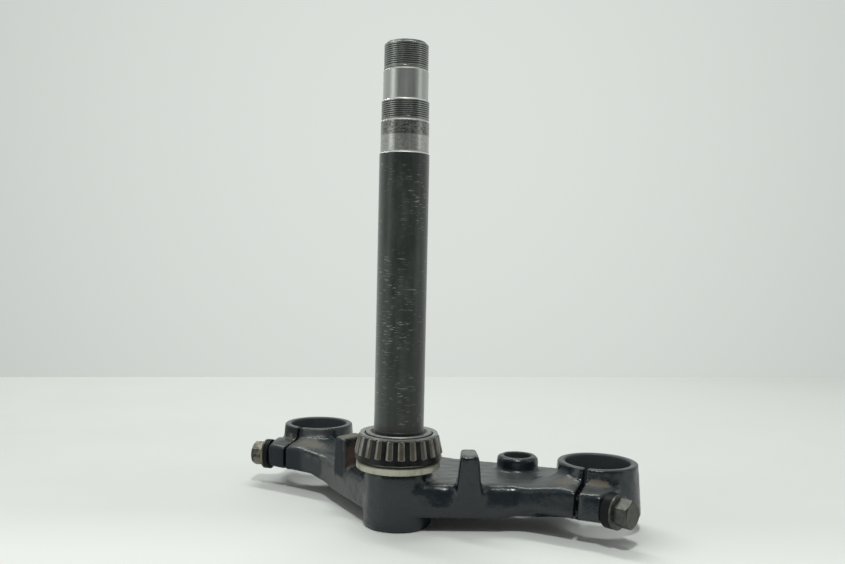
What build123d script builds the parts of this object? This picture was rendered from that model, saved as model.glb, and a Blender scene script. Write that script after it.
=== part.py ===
"""Lower triple clamp of a motorcycle, with its steering stem and lower head bearing.

Frame: +Z up the stem, +Y forward, +X to the side that carries the steering-lock boss.
The origin is on the stem's axis, at the flat foot of the stem boss. All sizes are in millimetres.
"""
from build123d import *
import os
from math import atan2, cos, degrees, radians, sin, tan

os.makedirs("parts", exist_ok=True)

# Fork clamps: two split rings, one on each side
FORK_BORE_D = 38.0
CLAMP_WALL = 4.4
CLAMP_SPACING = 203.0
CLAMP_AHEAD = 59.6
CLAMP_BOTTOM = 8.7
CLAMP_TOP = 39.0
CLAMP_DRAFT = 4.5
CLAMP_ROOT_FILLET = 5.0
CLAMP_EDGE = 0.4
SLIT_WIDTH = 2.0

# Stem boss, with the foot that the part stands on
BOSS_D = 40.2
BOSS_TOP = 33.9
BOSS_FOOT_EDGE = 2.5
BOSS_TOP_EDGE = 0.8
BOSS_ROOT_FILLET = 3.0

# Arms: a top plate with walls and ribs below it
ARM_BOTTOM = 8.7
ARM_TOP = 27.4
ARM_ANGLE = 31.5
ARM_REAR_OFFSET = 19.0
ARM_REAR_EDGE = 5.0
ARM_FRONT_EDGE = 2.0
ARM_WALL = 5.0
ARM_PLATE = 5.5
FRONT_ANGLE = 12.0
FRONT_NOSE_RADIUS = 40.0
RIB_THICKNESS = 4.5
RIB_OUTER_ANGLE = 33.0
RIB_INNER_ANGLE = 66.0
BLEND_SINK = 0.3

# Pinch ears: the lumps behind the rings that take the bolts across the slits
EAR_REAR = 20.5
EAR_BOTTOM = 13.0
EAR_SHOULDER = 29.0
EAR_RISE = 8.0
EAR_END_DROP = 2.7
EAR_END_RISE = 3.0
EAR_SEAT_R = 6.5
EAR_EDGE = 3.0
EAR_FOOT_EDGE = 2.5
EAR_OUTER_REACH = 16.8
EAR_INNER_REACH = 9.0
EAR_RUN_OUT = 26.0
EAR_ROOT_FILLET = 4.0

# Steering-stop lugs, one on each arm
LUG_ALONG = 40.5
LUG_TOP = 44.6
LUG_TOP_RISE = 1.8
LUG_TOP_WIDTH = 11.2
LUG_FOOT_WIDTH = 17.0
LUG_DEPTH = 12.5
LUG_FRONT_SLOPE = 3.0
LUG_PROUD = 2.0
LUG_PROUD_FROM = 24.0
LUG_FOOT = 14.0
LUG_EDGE = 1.6
LUG_TOP_EDGE = 1.0
LUG_FLARE = 4.0
LUG_FLARE_TURN = 70.0
LUG_TAPER = 4.5

# Steering-lock boss, on the right arm only
LOCK_X = 50.5
LOCK_Y = 59.6
LOCK_D = 25.2
LOCK_BORE_D = 16.7
LOCK_TOP = 36.0
LOCK_EDGE = 2.4
LOCK_ROOT_FILLET = 2.5

# Pinch bolts and their washers
BOLT_Y = 29.4
BOLT_Z = 20.2
BOLT_TURN = 15.0
BOLT_D = 10.0
BOLT_LENGTH = 31.0
BOLT_ACROSS_FLATS = 14.0
BOLT_HEX_HEIGHT = 8.4
BOLT_CROWN_D = 13.2
BOLT_CROWN_ANGLE = 30.0
BOLT_FLANGE_D = 19.6
BOLT_FLANGE_RIM = 1.2
BOLT_FLANGE_RISE = 0.8
BOLT_POINT = 1.2
BOLT_HOLE_CLEARANCE = 0.3
BOLT_THREAD_CLEARANCE = 0.05
BOLT_HOLE_SPARE = 2.0
WASHER_D = 19.6
LEFT_WASHER_THICKNESS = 3.2
RIGHT_WASHER_THICKNESS = 5.4
WASHER_EDGE = 0.3

# Steering stem, from its foot up
STEM_FOOT = 1.0
STEM_BORE_D = 17.0
STEM_FIT = 0.02
BEARING_SEAT_D = 30.0
BEARING_SEAT_TOP = 56.5
TUBE_D = 29.2
TUBE_TOP = 217.4
UPPER_SEAT_D = 28.2
UPPER_SEAT_TOP = 235.9
LOCK_THREAD_D = 27.8
LOCK_THREAD_TOP = 247.6
SPIGOT_D = 26.4
SPIGOT_TOP = 265.0
TOP_THREAD_D = 25.8
STEM_TOP = 281.0
STEM_END_CHAMFER = 1.0

# Dust seal under the bearing
SEAL_D = 49.4
SEAL_THICKNESS = 4.0
SEAL_EDGE = 0.6
SEAL_CLEARANCE = 0.2

# Lower head bearing: inner race, cage and tapered rollers
RACE_WIDTH = 17.0
RACE_CORNER = 1.5
RACE_RIB_EDGE = 0.5
RACE_LARGE_RIB_D = 44.0
RACE_SMALL_RIB_D = 38.6
ROLLER_COUNT = 22
ROLLER_START_ANGLE = 10.5
ROLLER_TILT = 11.5
ROLLER_LENGTH = 10.8
ROLLER_LARGE_D = 5.55
ROLLER_SMALL_D = 5.0
ROLLER_CHAMFER = 0.35
ROLLER_CIRCLE_D = 44.5
ROLLER_MID_HEIGHT = 9.6
ROLLER_CLEARANCE = 0.1
CAGE_STAND_OFF = 0.7
CAGE_THICKNESS = 1.1
CAGE_TOP_RIM = 1.3
CAGE_FOOT_RIM = 2.9
CAGE_LIP_D = 40.4
CAGE_LIP_THICKNESS = 0.9
CAGE_POCKET_CLEARANCE = 0.2

# Places worked out from the sizes above
CLAMP_X = CLAMP_SPACING / 2
CLAMP_HEIGHT = CLAMP_TOP - CLAMP_BOTTOM
FORK_R = FORK_BORE_D / 2
CLAMP_TOP_R = FORK_R + CLAMP_WALL
CLAMP_FOOT_R = CLAMP_TOP_R + CLAMP_HEIGHT * tan(radians(CLAMP_DRAFT))
BOSS_R = BOSS_D / 2
ARM_HEIGHT = ARM_TOP - ARM_BOTTOM
EAR_INNER_X = CLAMP_X - EAR_INNER_REACH
EAR_RUN_OUT_X = EAR_INNER_X - EAR_RUN_OUT
EAR_END_X = CLAMP_X + EAR_OUTER_REACH
EAR_FRONT = CLAMP_AHEAD - FORK_R * cos(radians(45))
SEAT_SLOPE = tan(radians(BOLT_TURN))
EAR_FAR_X = EAR_END_X + EAR_SEAT_R * SEAT_SLOPE
SEAL_TOP = BOSS_TOP + SEAL_THICKNESS
RACE_TOP = SEAL_TOP + RACE_WIDTH
ROLLER_MID_Z = SEAL_TOP + ROLLER_MID_HEIGHT
SLOPE = radians(ARM_ANGLE)
STANDING = (Align.CENTER, Align.CENTER, Align.MIN)
SIDES = {"left": -1, "right": 1}
WASHERS = {"left": LEFT_WASHER_THICKNESS, "right": RIGHT_WASHER_THICKNESS}


def arm_point(along, out):
    """Plan point on the right arm: a distance along it from the stem, and one out towards its rear face."""
    return (along * cos(SLOPE) + out * sin(SLOPE), along * sin(SLOPE) - out * cos(SLOPE))


def arm_rear_y(x):
    """Y of the right arm's rear face at a given X."""
    return (x * sin(SLOPE) - ARM_REAR_OFFSET) / cos(SLOPE)


def bolt_seat(side):
    """Plane of an ear's end, centred on the bolt, with its z pointing out along the bolt."""
    turn = radians(BOLT_TURN)
    return Plane((side * EAR_END_X, BOLT_Y, BOLT_Z), x_dir=(0, 0, 1), z_dir=(side * cos(turn), -sin(turn), 0))


def clamp_centres(height):
    """Middles of the two fork clamps at a height."""
    return [(side * CLAMP_X, CLAMP_AHEAD, height) for side in SIDES.values()]


def roots_of(builder, radius):
    """Edges where an upright cylinder of that radius meets the flat top of the arms."""
    round_edges = builder.edges().filter_by(GeomType.CIRCLE)
    return [e for e in round_edges if abs(e.radius - radius) < 0.01 and abs(e.center().Z - ARM_TOP) < 0.01]


def ring_edges(builder):
    """Edges of the two fork clamps' outer walls, apart from their seams."""
    walls = builder.faces().filter_by(GeomType.CONE).sort_by(SortBy.AREA)[-2:]
    return [e for wall in walls for e in wall.edges() if e.geom_type != GeomType.LINE]


def half_plane(angle):
    """Upright plane through the stem's axis: its x runs outwards at the angle, and its y up."""
    turn = radians(angle)
    return Plane((0, 0, 0), x_dir=(cos(turn), sin(turn), 0), z_dir=(sin(turn), -cos(turn), 0))


def roller_point(along, out):
    """Radius and height of a point up a roller's axis from its middle, and out from that axis."""
    tilt = radians(ROLLER_TILT)
    radius = ROLLER_CIRCLE_D / 2 - along * sin(tilt) + out * cos(tilt)
    return (radius, ROLLER_MID_Z + along * cos(tilt) + out * sin(tilt))


def roller_radius(along):
    """Radius of a roller at a distance up its axis from its middle."""
    mean = (ROLLER_LARGE_D + ROLLER_SMALL_D) / 4
    return mean - along * (ROLLER_LARGE_D - ROLLER_SMALL_D) / 2 / ROLLER_LENGTH


def roller_axis(plane):
    """Axis of the roller whose middle lies in an upright plane."""
    foot = plane.from_local_coords(Vector(*roller_point(0, 0), 0))
    tip = plane.from_local_coords(Vector(*roller_point(1, 0), 0))
    return Axis(foot, tip - foot)


# Plan of the two arms, from the boss out to the rings' middles
side_ribs = (RIB_OUTER_ANGLE, degrees(atan2(LOCK_Y, LOCK_X)), RIB_INNER_ANGLE)
rib_angles = [90, *side_ribs, *[180 - angle for angle in side_ribs]]
front_slope = radians(FRONT_ANGLE)
front_x = CLAMP_X - CLAMP_TOP_R * sin(front_slope)
front_y = CLAMP_AHEAD + CLAMP_TOP_R * cos(front_slope)
heel = arm_point(0, ARM_REAR_OFFSET)
with BuildSketch(Plane.XY.offset(ARM_BOTTOM)) as arm_plan:
    with BuildLine():
        Polyline(
            (0, front_y - front_x * tan(front_slope)),
            (front_x, front_y),
            (CLAMP_X, CLAMP_AHEAD),
            (CLAMP_X, arm_rear_y(CLAMP_X)),
            heel,
            (0, heel[1]),
        )
        mirror(about=Plane.YZ)
    make_face()
    nose = arm_plan.vertices().filter_by_position(Axis.X, -1, 1).sort_by(Axis.Y)[-1]
    fillet(nose, FRONT_NOSE_RADIUS)


def ear_section(x, rear, shoulder, rise, edge):
    """Sketch of an ear across X: flat rear face, rounded shoulder, and a top that climbs to the ring."""
    with BuildSketch(Plane.YZ.offset(x)) as section:
        with BuildLine():
            Polyline(
                (rear, EAR_BOTTOM),
                (EAR_FRONT, EAR_BOTTOM),
                (EAR_FRONT, shoulder + rise),
                (rear, shoulder),
                close=True,
            )
        make_face()
        fillet(section.vertices().sort_by_distance((rear, EAR_BOTTOM, 0))[0], EAR_FOOT_EDGE)
        fillet(section.vertices().sort_by_distance((rear, shoulder, 0))[0], edge)
    return section.sketch


# Pinch ear of the right clamp: it grows out of the arm, crosses the slit and ends square to the bolt
run_out_rear = arm_rear_y(EAR_RUN_OUT_X) + BLEND_SINK
run_out = ear_section(EAR_RUN_OUT_X, run_out_rear, ARM_TOP - 2 * BLEND_SINK, BLEND_SINK, ARM_REAR_EDGE)
ear_middle = ear_section(EAR_INNER_X, EAR_REAR, EAR_SHOULDER, EAR_RISE, EAR_EDGE)
ear_end = ear_section(EAR_FAR_X, EAR_REAR, EAR_SHOULDER - EAR_END_DROP, EAR_END_RISE, EAR_EDGE)
with BuildPart() as ear:
    loft([run_out, ear_middle], ruled=True)
    loft([ear_middle, ear_end], ruled=True)

# Steering-stop lug of the right arm: a tapered tooth, proud of the arm's rear face, with flared roots
lug_middle = (*arm_point(LUG_ALONG, 0), 0)
along_arm = (cos(SLOPE), sin(SLOPE), 0)
out_of_arm = (sin(SLOPE), -cos(SLOPE), 0)
lug_face = Plane(lug_middle, x_dir=along_arm, z_dir=out_of_arm)
lug_back = Plane(lug_middle, x_dir=(-cos(SLOPE), -sin(SLOPE), 0), z_dir=(-sin(SLOPE), cos(SLOPE), 0))
lug_flank = Plane(lug_middle, x_dir=out_of_arm, z_dir=(-cos(SLOPE), -sin(SLOPE), 0))
lug_front = ARM_REAR_OFFSET - LUG_DEPTH
lug_rear = ARM_REAR_OFFSET + LUG_PROUD
lug_front_foot = lug_front - LUG_FRONT_SLOPE
lug_widening = (LUG_FOOT_WIDTH - LUG_TOP_WIDTH) / (LUG_TOP - LUG_FOOT)
lug_peak = LUG_TOP + 2 * LUG_TOP_RISE
peak_width = LUG_TOP_WIDTH - lug_widening * (lug_peak - LUG_TOP)
lug_root_width = LUG_TOP_WIDTH + lug_widening * (LUG_TOP - ARM_TOP)
flare_foot = ARM_TOP - BLEND_SINK


def lug_flare(out):
    """Sketch of the lug's flared root at a distance out from the stem: a hollow curve up each flank."""
    half = lug_root_width / 2 - (lug_rear - out) * tan(radians(LUG_TAPER))
    tip = half + LUG_FLARE * sin(radians(LUG_FLARE_TURN)) - 2 * BLEND_SINK
    with BuildSketch(lug_face.offset(out)) as flare:
        with BuildLine():
            rise = JernArc((-tip, flare_foot), (1, 0), LUG_FLARE, LUG_FLARE_TURN)
            fall = JernArc((tip, flare_foot), (-1, 0), LUG_FLARE, -LUG_FLARE_TURN)
            Line(rise @ 1, fall @ 1)
            Polyline(fall @ 0, (0, flare_foot - BLEND_SINK), rise @ 0)
        make_face()
    return flare.sketch


with BuildPart() as lug:
    with BuildSketch(lug_back.offset(-lug_rear)):
        with BuildLine():
            Polyline(
                (-LUG_FOOT_WIDTH / 2, LUG_FOOT),
                (LUG_FOOT_WIDTH / 2, LUG_FOOT),
                (peak_width / 2, lug_peak),
                (-peak_width / 2, lug_peak),
                close=True,
            )
        make_face()
    extrude(amount=lug_rear - lug_front_foot, taper=LUG_TAPER)
    with BuildSketch(lug_flank):
        with BuildLine():
            Polyline(
                (lug_front_foot, LUG_FOOT),
                (ARM_REAR_OFFSET - BLEND_SINK, LUG_FOOT),
                (lug_rear, LUG_PROUD_FROM),
                (lug_rear, LUG_TOP),
                (lug_front, LUG_TOP + LUG_TOP_RISE),
                close=True,
            )
        make_face()
    extrude(amount=LUG_FOOT_WIDTH, both=True, mode=Mode.INTERSECT)
    fillet(lug.edges().filter_by(lambda e: abs(e.tangent_at(0.5).Z) > 0.5), LUG_EDGE)
    lug_crown = lug.faces().filter_by(lambda f: f.normal_at().Z > 0.8).sort_by(Axis.Z)[-1]
    fillet(lug_crown.edges(), LUG_TOP_EDGE)
    loft([lug_flare(lug_front_foot), lug_flare(ARM_REAR_OFFSET - ARM_REAR_EDGE)], ruled=True)

# Yoke: boss, arms, rings, ears, lugs and lock boss in one casting
with BuildPart() as yoke:
    add(arm_plan.sketch)
    extrude(amount=ARM_HEIGHT)
    arm_edges = yoke.edges().group_by(Axis.Z)[-1].filter_by(lambda e: abs(e.center().X) < CLAMP_X - 1)
    fillet(arm_edges.filter_by(lambda e: e.center().Y < arm_rear_y(CLAMP_X)), ARM_REAR_EDGE)
    arm_edges = yoke.edges().group_by(Axis.Z)[-1].filter_by(lambda e: abs(e.tangent_at(0.5).X) > 0.9)
    fillet(arm_edges.filter_by(lambda e: e.center().Y > CLAMP_AHEAD), ARM_FRONT_EDGE)
    Cylinder(BOSS_R, BOSS_TOP, align=STANDING)
    with Locations((LOCK_X, LOCK_Y, ARM_BOTTOM)):
        Cylinder(LOCK_D / 2, LOCK_TOP - ARM_BOTTOM, align=STANDING)
    with Locations(*clamp_centres(CLAMP_BOTTOM)):
        Cone(CLAMP_FOOT_R, CLAMP_TOP_R, CLAMP_HEIGHT, align=STANDING)
    root_low = ARM_TOP - ARM_REAR_EDGE
    fillet([e for e in ring_edges(yoke) if root_low < e.center().Z <= ARM_TOP], CLAMP_ROOT_FILLET)
    fillet(roots_of(yoke, BOSS_R), BOSS_ROOT_FILLET)
    fillet(roots_of(yoke, LOCK_D / 2), LOCK_ROOT_FILLET)

    # Ears, blended up the rings' walls and faced square to the bolts, and lugs
    add(ear.part)
    add(mirror(ear.part, about=Plane.YZ, mode=Mode.PRIVATE))
    behind = [e for e in ring_edges(yoke) if e.center().Y < EAR_FRONT and abs(e.center().X) > EAR_RUN_OUT_X]
    fillet([e for e in behind if e.center().Z > EAR_SHOULDER and e.length > EAR_ROOT_FILLET], EAR_ROOT_FILLET)
    add(lug.part)
    add(mirror(lug.part, about=Plane.YZ, mode=Mode.PRIVATE))
    with BuildSketch():
        with BuildLine():
            Polyline(
                (EAR_FAR_X, BOLT_Y + EAR_SEAT_R),
                (EAR_FAR_X + BLEND_SINK, BOLT_Y + EAR_SEAT_R),
                (EAR_FAR_X + BLEND_SINK, 0),
                (EAR_END_X - BOLT_Y * SEAT_SLOPE, 0),
                close=True,
            )
        make_face()
        mirror(about=Plane.YZ)
    extrude(amount=CLAMP_TOP, mode=Mode.SUBTRACT)

    # Pockets below the plate, between the walls and ribs
    with BuildSketch(Plane.XY.offset(ARM_BOTTOM)):
        add(arm_plan.sketch_local)
        offset(amount=-ARM_WALL, kind=Kind.INTERSECTION)
        Circle(BOSS_R, mode=Mode.SUBTRACT)
        with Locations(*[(x, y) for x, y, height in clamp_centres(0)]):
            Circle(CLAMP_FOOT_R, mode=Mode.SUBTRACT)
        with Locations((LOCK_X, LOCK_Y)):
            Circle(LOCK_D / 2, mode=Mode.SUBTRACT)
        for angle in rib_angles:
            with Locations(Location((0, 0), angle)):
                Rectangle(CLAMP_SPACING, RIB_THICKNESS, align=(Align.MIN, Align.CENTER), mode=Mode.SUBTRACT)
    extrude(amount=ARM_HEIGHT - ARM_PLATE, mode=Mode.SUBTRACT)

    # Bores and rounded rims
    Cylinder(BEARING_SEAT_D / 2 + STEM_FIT, BOSS_TOP, align=STANDING, mode=Mode.SUBTRACT)
    with Locations((LOCK_X, LOCK_Y, ARM_BOTTOM)):
        Cylinder(LOCK_BORE_D / 2, LOCK_TOP - ARM_BOTTOM, align=STANDING, mode=Mode.SUBTRACT)
    with Locations(*clamp_centres(CLAMP_BOTTOM)):
        Cylinder(FORK_R, CLAMP_HEIGHT, align=STANDING, mode=Mode.SUBTRACT)
    rims = yoke.edges().filter_by(GeomType.CIRCLE)
    lock_rims = [e for e in rims if abs(e.center().Z - LOCK_TOP) < 0.01]
    fillet([e for e in lock_rims if e.radius > LOCK_BORE_D / 2 + 1], LOCK_EDGE)
    rims = yoke.edges().filter_by(GeomType.CIRCLE)
    fillet([e for e in rims if abs(e.center().Z - CLAMP_TOP) < 0.01 and e.radius > FORK_R + 1], CLAMP_EDGE)
    rims = yoke.edges().filter_by(GeomType.CIRCLE)
    fillet([e for e in rims if e.center().Z < 0.01 and e.radius > BOSS_R - 1], BOSS_FOOT_EDGE)
    rims = yoke.edges().filter_by(GeomType.CIRCLE)
    fillet([e for e in rims if abs(e.center().Z - BOSS_TOP) < 0.01 and e.radius > BOSS_R - 1], BOSS_TOP_EDGE)

    # Slits through the rings and ears, and the bolts' holes across them
    for side in SIDES.values():
        with Locations((side * CLAMP_X, CLAMP_AHEAD / 2, CLAMP_BOTTOM)):
            Box(SLIT_WIDTH, CLAMP_AHEAD, CLAMP_HEIGHT, align=STANDING, mode=Mode.SUBTRACT)
        with BuildSketch(bolt_seat(side)):
            Circle(BOLT_D / 2 + BOLT_HOLE_CLEARANCE)
        extrude(amount=-EAR_OUTER_REACH / cos(radians(BOLT_TURN)), mode=Mode.SUBTRACT)
        with BuildSketch(bolt_seat(side)):
            Circle(BOLT_D / 2 + BOLT_THREAD_CLEARANCE)
        extrude(amount=min(WASHERS.values()) - BOLT_LENGTH - BOLT_HOLE_SPARE, mode=Mode.SUBTRACT)
yoke.part.label = "yoke"
export_step(yoke.part, "parts/yoke.step")

# Steering stem: a turned tube, stepped down towards its top, with each step bevelled
stem_steps = (
    (BEARING_SEAT_D / 2, BEARING_SEAT_TOP),
    (TUBE_D / 2, TUBE_TOP),
    (UPPER_SEAT_D / 2, UPPER_SEAT_TOP),
    (LOCK_THREAD_D / 2, LOCK_THREAD_TOP),
    (SPIGOT_D / 2, SPIGOT_TOP),
    (TOP_THREAD_D / 2, STEM_TOP),
    (TOP_THREAD_D / 2 - STEM_END_CHAMFER, STEM_TOP),
)
stem_profile = [(STEM_BORE_D / 2, STEM_FOOT), (BEARING_SEAT_D / 2, STEM_FOOT)]
for (radius, top), (next_radius, next_top) in zip(stem_steps, stem_steps[1:]):
    stem_profile += [(radius, top - (radius - next_radius)), (next_radius, top)]
stem_profile.append((STEM_BORE_D / 2, STEM_TOP))
with BuildPart() as steering_stem:
    with BuildSketch(Plane.XZ):
        with BuildLine():
            Polyline(*stem_profile, close=True)
        make_face()
    revolve(axis=Axis.Z)
steering_stem.part.label = "steering_stem"
export_step(steering_stem.part, "parts/steering_stem.step")

# Dust seal: a ring between the boss and the bearing
with BuildPart() as dust_seal:
    with BuildSketch(Plane.XY.offset(BOSS_TOP)):
        Circle(SEAL_D / 2)
        Circle(BEARING_SEAT_D / 2 + SEAL_CLEARANCE, mode=Mode.SUBTRACT)
    extrude(amount=SEAL_THICKNESS)
    outer_rims = dust_seal.edges().filter_by(GeomType.CIRCLE).filter_by(lambda e: e.radius > SEAL_D / 2 - 1)
    chamfer(outer_rims, SEAL_EDGE)
dust_seal.part.label = "dust_seal"
export_step(dust_seal.part, "parts/dust_seal.step")

# Bearing inner race: a tapered raceway between a large rib below and a small rib above
race_bore = BEARING_SEAT_D / 2 + STEM_FIT
large_end = -ROLLER_LENGTH / 2 - ROLLER_CLEARANCE
small_end = ROLLER_LENGTH / 2 + ROLLER_CLEARANCE
raceway_low = roller_point(large_end, -roller_radius(large_end) - ROLLER_CLEARANCE)
raceway_high = roller_point(small_end, -roller_radius(small_end) - ROLLER_CLEARANCE)
rib_face = tan(radians(ROLLER_TILT))
large_rib_top = raceway_low[1] + (RACE_LARGE_RIB_D / 2 - raceway_low[0]) * rib_face
small_rib_foot = raceway_high[1] + (RACE_SMALL_RIB_D / 2 - raceway_high[0]) * rib_face
with BuildPart() as bearing_inner_race:
    with BuildSketch(Plane.XZ):
        with BuildLine():
            Polyline(
                (race_bore, SEAL_TOP),
                (RACE_LARGE_RIB_D / 2, SEAL_TOP),
                (RACE_LARGE_RIB_D / 2, large_rib_top),
                raceway_low,
                raceway_high,
                (RACE_SMALL_RIB_D / 2, small_rib_foot),
                (RACE_SMALL_RIB_D / 2, RACE_TOP),
                (race_bore, RACE_TOP),
                close=True,
            )
        make_face()
    revolve(axis=Axis.Z)
    top_rims = bearing_inner_race.edges().group_by(Axis.Z)[-1].filter_by(GeomType.CIRCLE)
    bore_rim, rib_rim = top_rims.sort_by(SortBy.RADIUS)
    chamfer(bore_rim, RACE_CORNER)
    chamfer(rib_rim, RACE_RIB_EDGE)
bearing_inner_race.part.label = "bearing_inner_race"
export_step(bearing_inner_race.part, "parts/bearing_inner_race.step")


def roller_outline(spare):
    """Half section of a roller, grown all round by a spare, as radius and height points."""
    half = ROLLER_LENGTH / 2 + spare
    chamfer = ROLLER_CHAMFER
    outline = (
        (-half, 0),
        (-half, roller_radius(-half) + spare - chamfer),
        (-half + chamfer, roller_radius(-half) + spare),
        (half - chamfer, roller_radius(half) + spare),
        (half, roller_radius(half) + spare - chamfer),
        (half, 0),
    )
    return [roller_point(along, out) for along, out in outline]


# Bearing cage: a sheet cone outside the rollers' axes, with a lip turned in over their small ends
cage_foot = -ROLLER_LENGTH / 2 - CAGE_FOOT_RIM
cage_head = ROLLER_LENGTH / 2 + CAGE_TOP_RIM
cage_inside = CAGE_STAND_OFF
cage_outside = CAGE_STAND_OFF + CAGE_THICKNESS
cage_lip = cage_head - CAGE_LIP_THICKNESS
lip_reach = (CAGE_LIP_D / 2 - roller_point(cage_head, 0)[0]) / cos(radians(ROLLER_TILT))
with BuildPart() as window_cutter:
    with BuildSketch(half_plane(ROLLER_START_ANGLE)):
        with BuildLine():
            Polyline(*roller_outline(CAGE_POCKET_CLEARANCE), close=True)
        make_face()
    revolve(axis=roller_axis(half_plane(ROLLER_START_ANGLE)))
with BuildPart() as bearing_cage:
    with BuildSketch(Plane.XZ):
        with BuildLine():
            Polyline(
                roller_point(cage_foot, cage_inside),
                roller_point(cage_foot, cage_outside),
                roller_point(cage_head, cage_outside),
                roller_point(cage_head, lip_reach),
                roller_point(cage_lip, lip_reach),
                roller_point(cage_lip, cage_inside),
                close=True,
            )
        make_face()
    revolve(axis=Axis.Z)
    with PolarLocations(0, ROLLER_COUNT):
        add(window_cutter.part, mode=Mode.SUBTRACT)
bearing_cage.part.label = "bearing_cage"
export_step(bearing_cage.part, "parts/bearing_cage.step")

# Tapered rollers, large end down, each in its window
for index in range(ROLLER_COUNT):
    roller_plane = half_plane(ROLLER_START_ANGLE + index * 360 / ROLLER_COUNT)
    with BuildPart() as roller:
        with BuildSketch(roller_plane):
            with BuildLine():
                Polyline(*roller_outline(0), close=True)
            make_face()
        revolve(axis=roller_axis(roller_plane))
    roller.part.label = f"roller_{index + 1:02d}"
    export_step(roller.part, f"parts/{roller.part.label}.step")

# Pinch bolts and washers, with the heads on the outer side of each clamp
for name, side in SIDES.items():
    with BuildPart() as washer:
        with BuildSketch(bolt_seat(side)):
            Circle(WASHER_D / 2)
            Circle(BOLT_D / 2 + BOLT_HOLE_CLEARANCE, mode=Mode.SUBTRACT)
        extrude(amount=WASHERS[name])
        chamfer(washer.edges().filter_by(lambda e: e.length > WASHER_D * 3), WASHER_EDGE)
    washer.part.label = f"{name}_washer"
    export_step(washer.part, f"parts/{name}_washer.step")

    head_plane = bolt_seat(side).offset(WASHERS[name])
    along_bolt = Axis(head_plane.origin, head_plane.z_dir)
    head_section = Plane(head_plane.origin, x_dir=head_plane.x_dir, z_dir=-head_plane.y_dir)
    head_top = BOLT_FLANGE_RIM + BOLT_HEX_HEIGHT
    crown_drop = (BOLT_ACROSS_FLATS - BOLT_CROWN_D / 2) * tan(radians(BOLT_CROWN_ANGLE))
    with BuildPart() as pinch_bolt:
        with BuildSketch(head_plane):
            Circle(BOLT_D / 2)
        extrude(amount=-BOLT_LENGTH)
        chamfer(pinch_bolt.faces().sort_by(along_bolt)[0].edges(), BOLT_POINT)
        with BuildSketch(head_plane):
            Circle(BOLT_FLANGE_D / 2)
        extrude(amount=BOLT_FLANGE_RIM)
        with BuildSketch(head_plane.offset(BOLT_FLANGE_RIM)):
            Circle(BOLT_FLANGE_D / 2)
        with BuildSketch(head_plane.offset(BOLT_FLANGE_RIM + BOLT_FLANGE_RISE)):
            Circle(BOLT_ACROSS_FLATS / 2)
        loft()
        with BuildSketch(head_plane):
            RegularPolygon(BOLT_ACROSS_FLATS / 2, 6, major_radius=False)
        extrude(amount=head_top)
        with BuildSketch(head_section):
            with BuildLine():
                Polyline(
                    (BOLT_CROWN_D / 2, head_top),
                    (BOLT_ACROSS_FLATS, head_top),
                    (BOLT_ACROSS_FLATS, head_top - crown_drop),
                    close=True,
                )
            make_face()
        revolve(axis=along_bolt, mode=Mode.SUBTRACT)
    pinch_bolt.part.label = f"{name}_pinch_bolt"
    export_step(pinch_bolt.part, f"parts/{name}_pinch_bolt.step")
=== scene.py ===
# %% [markdown]
# # The lower triple clamp of a motorcycle
# This part holds the fork legs of a motorcycle. A cast yoke carries two split rings, a steel stem stands in
# its boss, and the lower head bearing sits on a seal at the stem's foot. The solids were drawn in CAD, in
# metres, and every piece here stays in their frame. Blender adds what the solids lack: the softness of the
# casting, the threads, the paint, the bare steel and the dirt.

# %% Load the solids
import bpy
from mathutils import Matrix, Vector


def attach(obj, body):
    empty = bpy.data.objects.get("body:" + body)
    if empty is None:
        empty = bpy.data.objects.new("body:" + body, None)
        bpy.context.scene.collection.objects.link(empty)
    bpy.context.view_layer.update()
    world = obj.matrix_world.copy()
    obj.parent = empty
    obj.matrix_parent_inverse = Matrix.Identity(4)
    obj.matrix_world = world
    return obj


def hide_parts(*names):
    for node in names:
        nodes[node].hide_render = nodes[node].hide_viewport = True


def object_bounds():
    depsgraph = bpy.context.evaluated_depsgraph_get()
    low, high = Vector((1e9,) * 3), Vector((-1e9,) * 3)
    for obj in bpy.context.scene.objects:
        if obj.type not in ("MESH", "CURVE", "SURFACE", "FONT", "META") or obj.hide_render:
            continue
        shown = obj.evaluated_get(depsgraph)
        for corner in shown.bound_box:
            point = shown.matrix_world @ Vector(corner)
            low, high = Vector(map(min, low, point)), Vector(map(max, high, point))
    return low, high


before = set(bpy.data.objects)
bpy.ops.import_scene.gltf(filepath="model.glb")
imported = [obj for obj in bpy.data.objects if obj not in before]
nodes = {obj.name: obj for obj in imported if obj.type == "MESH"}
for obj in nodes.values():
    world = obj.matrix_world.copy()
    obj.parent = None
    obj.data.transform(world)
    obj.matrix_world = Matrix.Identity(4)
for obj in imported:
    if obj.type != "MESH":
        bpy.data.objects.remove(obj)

from types import SimpleNamespace

import bmesh
import bpy
import numpy as np
from mathutils import Matrix, Vector

MM = 0.001
scene = bpy.context.scene
scene.view_settings.view_transform = "Standard"
cad_low, cad_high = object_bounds()
print(f"{len(nodes)} solids, {(cad_high - cad_low).z / MM:.0f} mm tall")

# %% [markdown]
# A camera can be aimed by eye, or matched to a photo. This one is matched, so that the two pictures can be
# laid side by side. It stands a little above the bearing, behind the right arm, and its place and aim were
# fitted to the rings, the bearing and the stem. A focal length in pixels becomes one in millimetres when it
# is multiplied by the sensor's width and divided by the picture's width.

# %% Camera
PHOTO_SIZE = np.array([845, 564])
FOCAL_PIXELS = 853.594
SENSOR_WIDTH = 36.0
NEAREST = 0.01
EYE = np.array([0.256119, -0.428781, 0.155814])
FORWARD = np.array([-0.49174279, 0.87033983, -0.02641222])
UP = np.array([-0.03140977, 0.01258309, 0.99942738])
RIGHT = np.cross(FORWARD, UP)

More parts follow.
